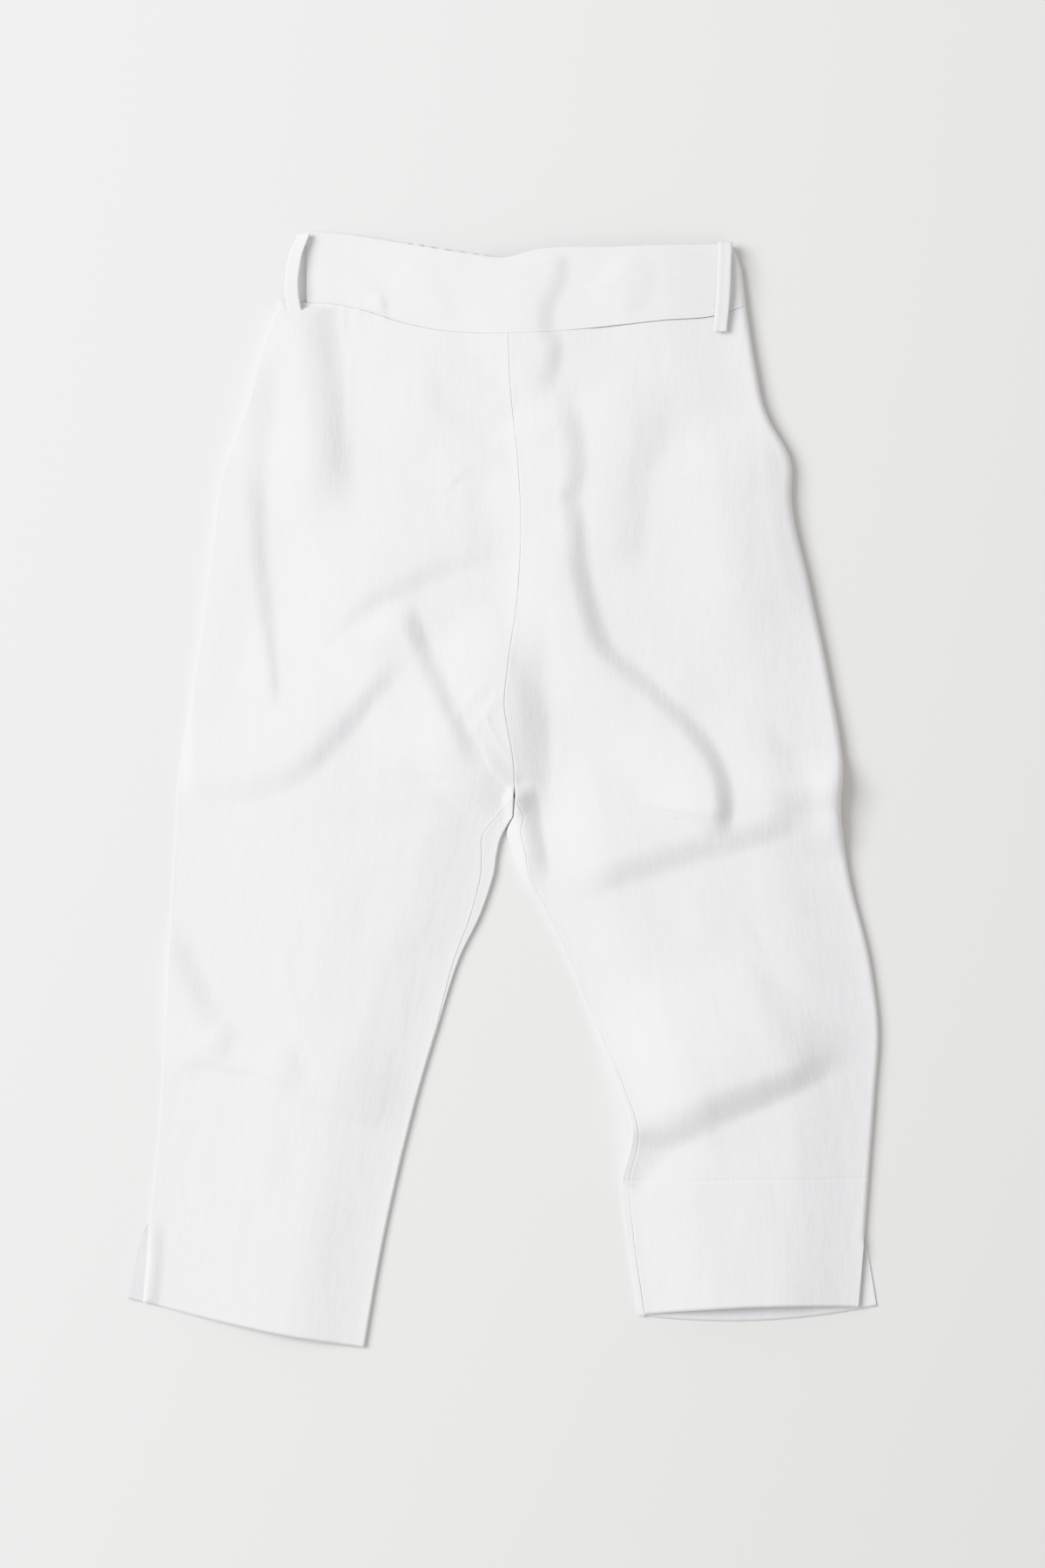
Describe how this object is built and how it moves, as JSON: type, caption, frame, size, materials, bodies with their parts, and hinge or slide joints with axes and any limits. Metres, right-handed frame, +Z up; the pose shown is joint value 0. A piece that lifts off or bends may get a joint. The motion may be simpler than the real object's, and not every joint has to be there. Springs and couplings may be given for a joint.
{
  "type": "capri pants",
  "caption": "White linen capri pants laid flat, front up, with a deep flat front waistband, gathered elastic back, two belt loops, side vents and deep turned-up hems.",
  "frame": {"origin": "centre of the bounding box on the surface the garment lies on", "axes": "+X is the wearer's left, +Y points from the hems to the waist, +Z is up off the surface, out of the front of the garment"},
  "size_m": [0.5938, 0.8847, 0.0322],
  "materials": {
    "front_right": "matte plain-weave linen",
    "front_left": "matte plain-weave linen",
    "back_right": "matte plain-weave linen",
    "back_left": "matte plain-weave linen",
    "waistband_front": "matte plain-weave linen",
    "waistband_back": "matte plain-weave linen",
    "belt_loop_right": "matte plain-weave linen",
    "belt_loop_left": "matte plain-weave linen"
  },
  "bodies": {
    "root": {"front_right": "front_right", "front_left": "front_left", "back_right": "back_right", "back_left": "back_left", "waistband_front": "waistband_front", "waistband_back": "waistband_back", "belt_loop_right": "belt_loop_right", "belt_loop_left": "belt_loop_left"}
  },
  "joints": []
}
